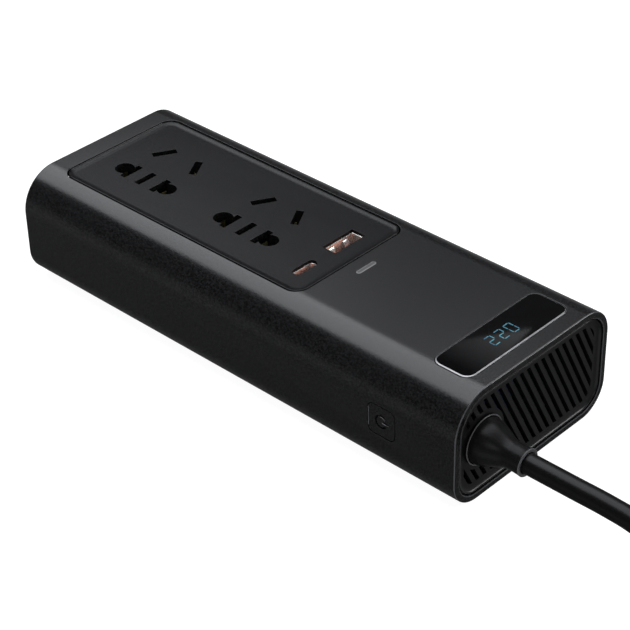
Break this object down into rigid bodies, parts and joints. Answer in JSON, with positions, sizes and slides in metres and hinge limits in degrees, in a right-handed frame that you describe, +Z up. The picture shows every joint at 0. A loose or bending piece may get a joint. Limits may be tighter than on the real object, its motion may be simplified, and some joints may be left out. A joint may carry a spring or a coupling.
{
  "type": "power inverter",
  "caption": "Handheld tube-shaped car power inverter with mains outlets and USB ports on top, an end grille and a coiled vehicle lead with accessory plug.",
  "frame": {"origin": "centre of the case's footprint, on the plane its feet stand on; the lead and its plug are left out of this", "axes": "+X along the case towards the vehicle lead, +Y across the case away from the power button, +Z up out of the outlets"},
  "size_m": [0.4042, 0.0786, 0.036],
  "materials": {
    "shell_plastic": "fine moulded grain, black",
    "grille_plastic": "smooth satin, black",
    "panel_plastic": "fine moulded grain, black",
    "ivory_plastic": "moulded, ivory",
    "socket_plastic": "moulded, black",
    "contact_brass": "stamped strip",
    "port_steel": "drawn and plated",
    "port_plastic": "moulded, coral",
    "circuit_board": "varnished laminate",
    "lamp_lens": "frosted, pale grey",
    "trim_chrome": "polished",
    "display_black": "polished, black",
    "display_light": "lit figures, cyan",
    "button_plastic": "fine moulded grain, black",
    "dark_epoxy": "moulded epoxy",
    "ferrite": "sintered ferrite",
    "copper_wire": "enamelled wire",
    "capacitor_can": "sleeved can",
    "film_capacitor": "moulded box",
    "sink_aluminium": "extruded",
    "fan_plastic": "moulded, black",
    "screw_steel": "plated",
    "foot_rubber": "moulded",
    "cord_rubber": "smooth jacket, black",
    "relief_rubber": "moulded, matte black",
    "red_wire": "wire insulation",
    "black_wire": "wire insulation",
    "tie_rubber": "moulded band",
    "plug_plastic": "moulded, black",
    "tip_brass": "turned",
    "fuse_glass": "glass tube fuse"
  },
  "bodies": {
    "case": {"housing": "shell_plastic", "front_grille": "grille_plastic", "rear_grille": "grille_plastic", "socket_panel": "panel_plastic", "socket_base_a": "socket_plastic", "socket_base_b": "socket_plastic", "left_contact_a": "contact_brass", "right_contact_a": "contact_brass", "earth_contact_a": "contact_brass", "left_contact_b": "contact_brass", "right_contact_b": "contact_brass", "earth_contact_b": "contact_brass", "usb_a_shell": "port_steel", "usb_a_tongue": "port_plastic", "usb_c_shell": "port_steel", "usb_c_tongue": "port_plastic", "usb_board": "circuit_board", "indicator_lens": "lamp_lens", "indicator_led": "lamp_lens", "display_trim": "trim_chrome", "display_window": "display_black", "display_digits": "display_light", "display_board": "circuit_board", "tact_switch": "dark_epoxy", "switch_board": "circuit_board", "main_board": "circuit_board", "transformer_core": "ferrite", "transformer_bobbin": "ivory_plastic", "transformer_winding": "copper_wire", "choke_core": "ferrite", "choke_winding": "copper_wire", "electrolytic_capacitors": "capacitor_can", "filter_capacitor": "film_capacitor", "heat_sink_a": "sink_aluminium", "heat_sink_b": "sink_aluminium", "power_transistors": "dark_epoxy", "control_chip": "dark_epoxy", "fan_frame": "fan_plastic", "fan_screws": "screw_steel", "board_screws": "screw_steel", "base_screws": "screw_steel", "rubber_feet": "foot_rubber", "strain_relief": "relief_rubber", "positive_lead": "red_wire", "negative_lead": "black_wire", "cord_case_side": "cord_rubber", "cord_coil": "cord_rubber", "cord_plug_side": "cord_rubber", "cord_tie": "tie_rubber", "plug_boot": "relief_rubber", "plug_shell": "plug_plastic", "plug_nose": "plug_plastic", "tip_spring": "screw_steel"},
    "button": {"power_button": "button_plastic", "switch_plunger": "ivory_plastic"},
    "fan": {"fan_rotor": "fan_plastic"},
    "plug_contact": {"plug_tip": "tip_brass", "plug_fuse": "fuse_glass"},
    "side_contact_left": {"side_contact_a": "screw_steel"},
    "side_contact_right": {"side_contact_b": "screw_steel"}
  },
  "joints": [
    {"name": "button_press", "type": "slide", "parent": "case", "child": "button", "axis": [0, 1, 0], "range_m": [0, 0.0008], "stiffness_N_per_m": 600, "springref_m": -0.0005},
    {"name": "fan_spin", "type": "hinge", "parent": "case", "child": "fan", "pos_m": [-0.0765, 0, 0.0183], "axis": [1, 0, 0], "continuous": true},
    {"name": "tip_press", "type": "slide", "parent": "case", "child": "plug_contact", "axis": [-1, 0, 0], "range_m": [0, 0.002], "stiffness_N_per_m": 1200, "springref_m": -0.001},
    {"name": "side_contact_left_press", "type": "slide", "parent": "case", "child": "side_contact_left", "axis": [0, -1, 0], "range_m": [0, 0.0008], "stiffness_N_per_m": 1500, "springref_m": -0.0005},
    {"name": "side_contact_right_press", "type": "slide", "parent": "case", "child": "side_contact_right", "axis": [0, 1, 0], "range_m": [0, 0.0008], "stiffness_N_per_m": 1500, "springref_m": -0.0005}
  ]
}
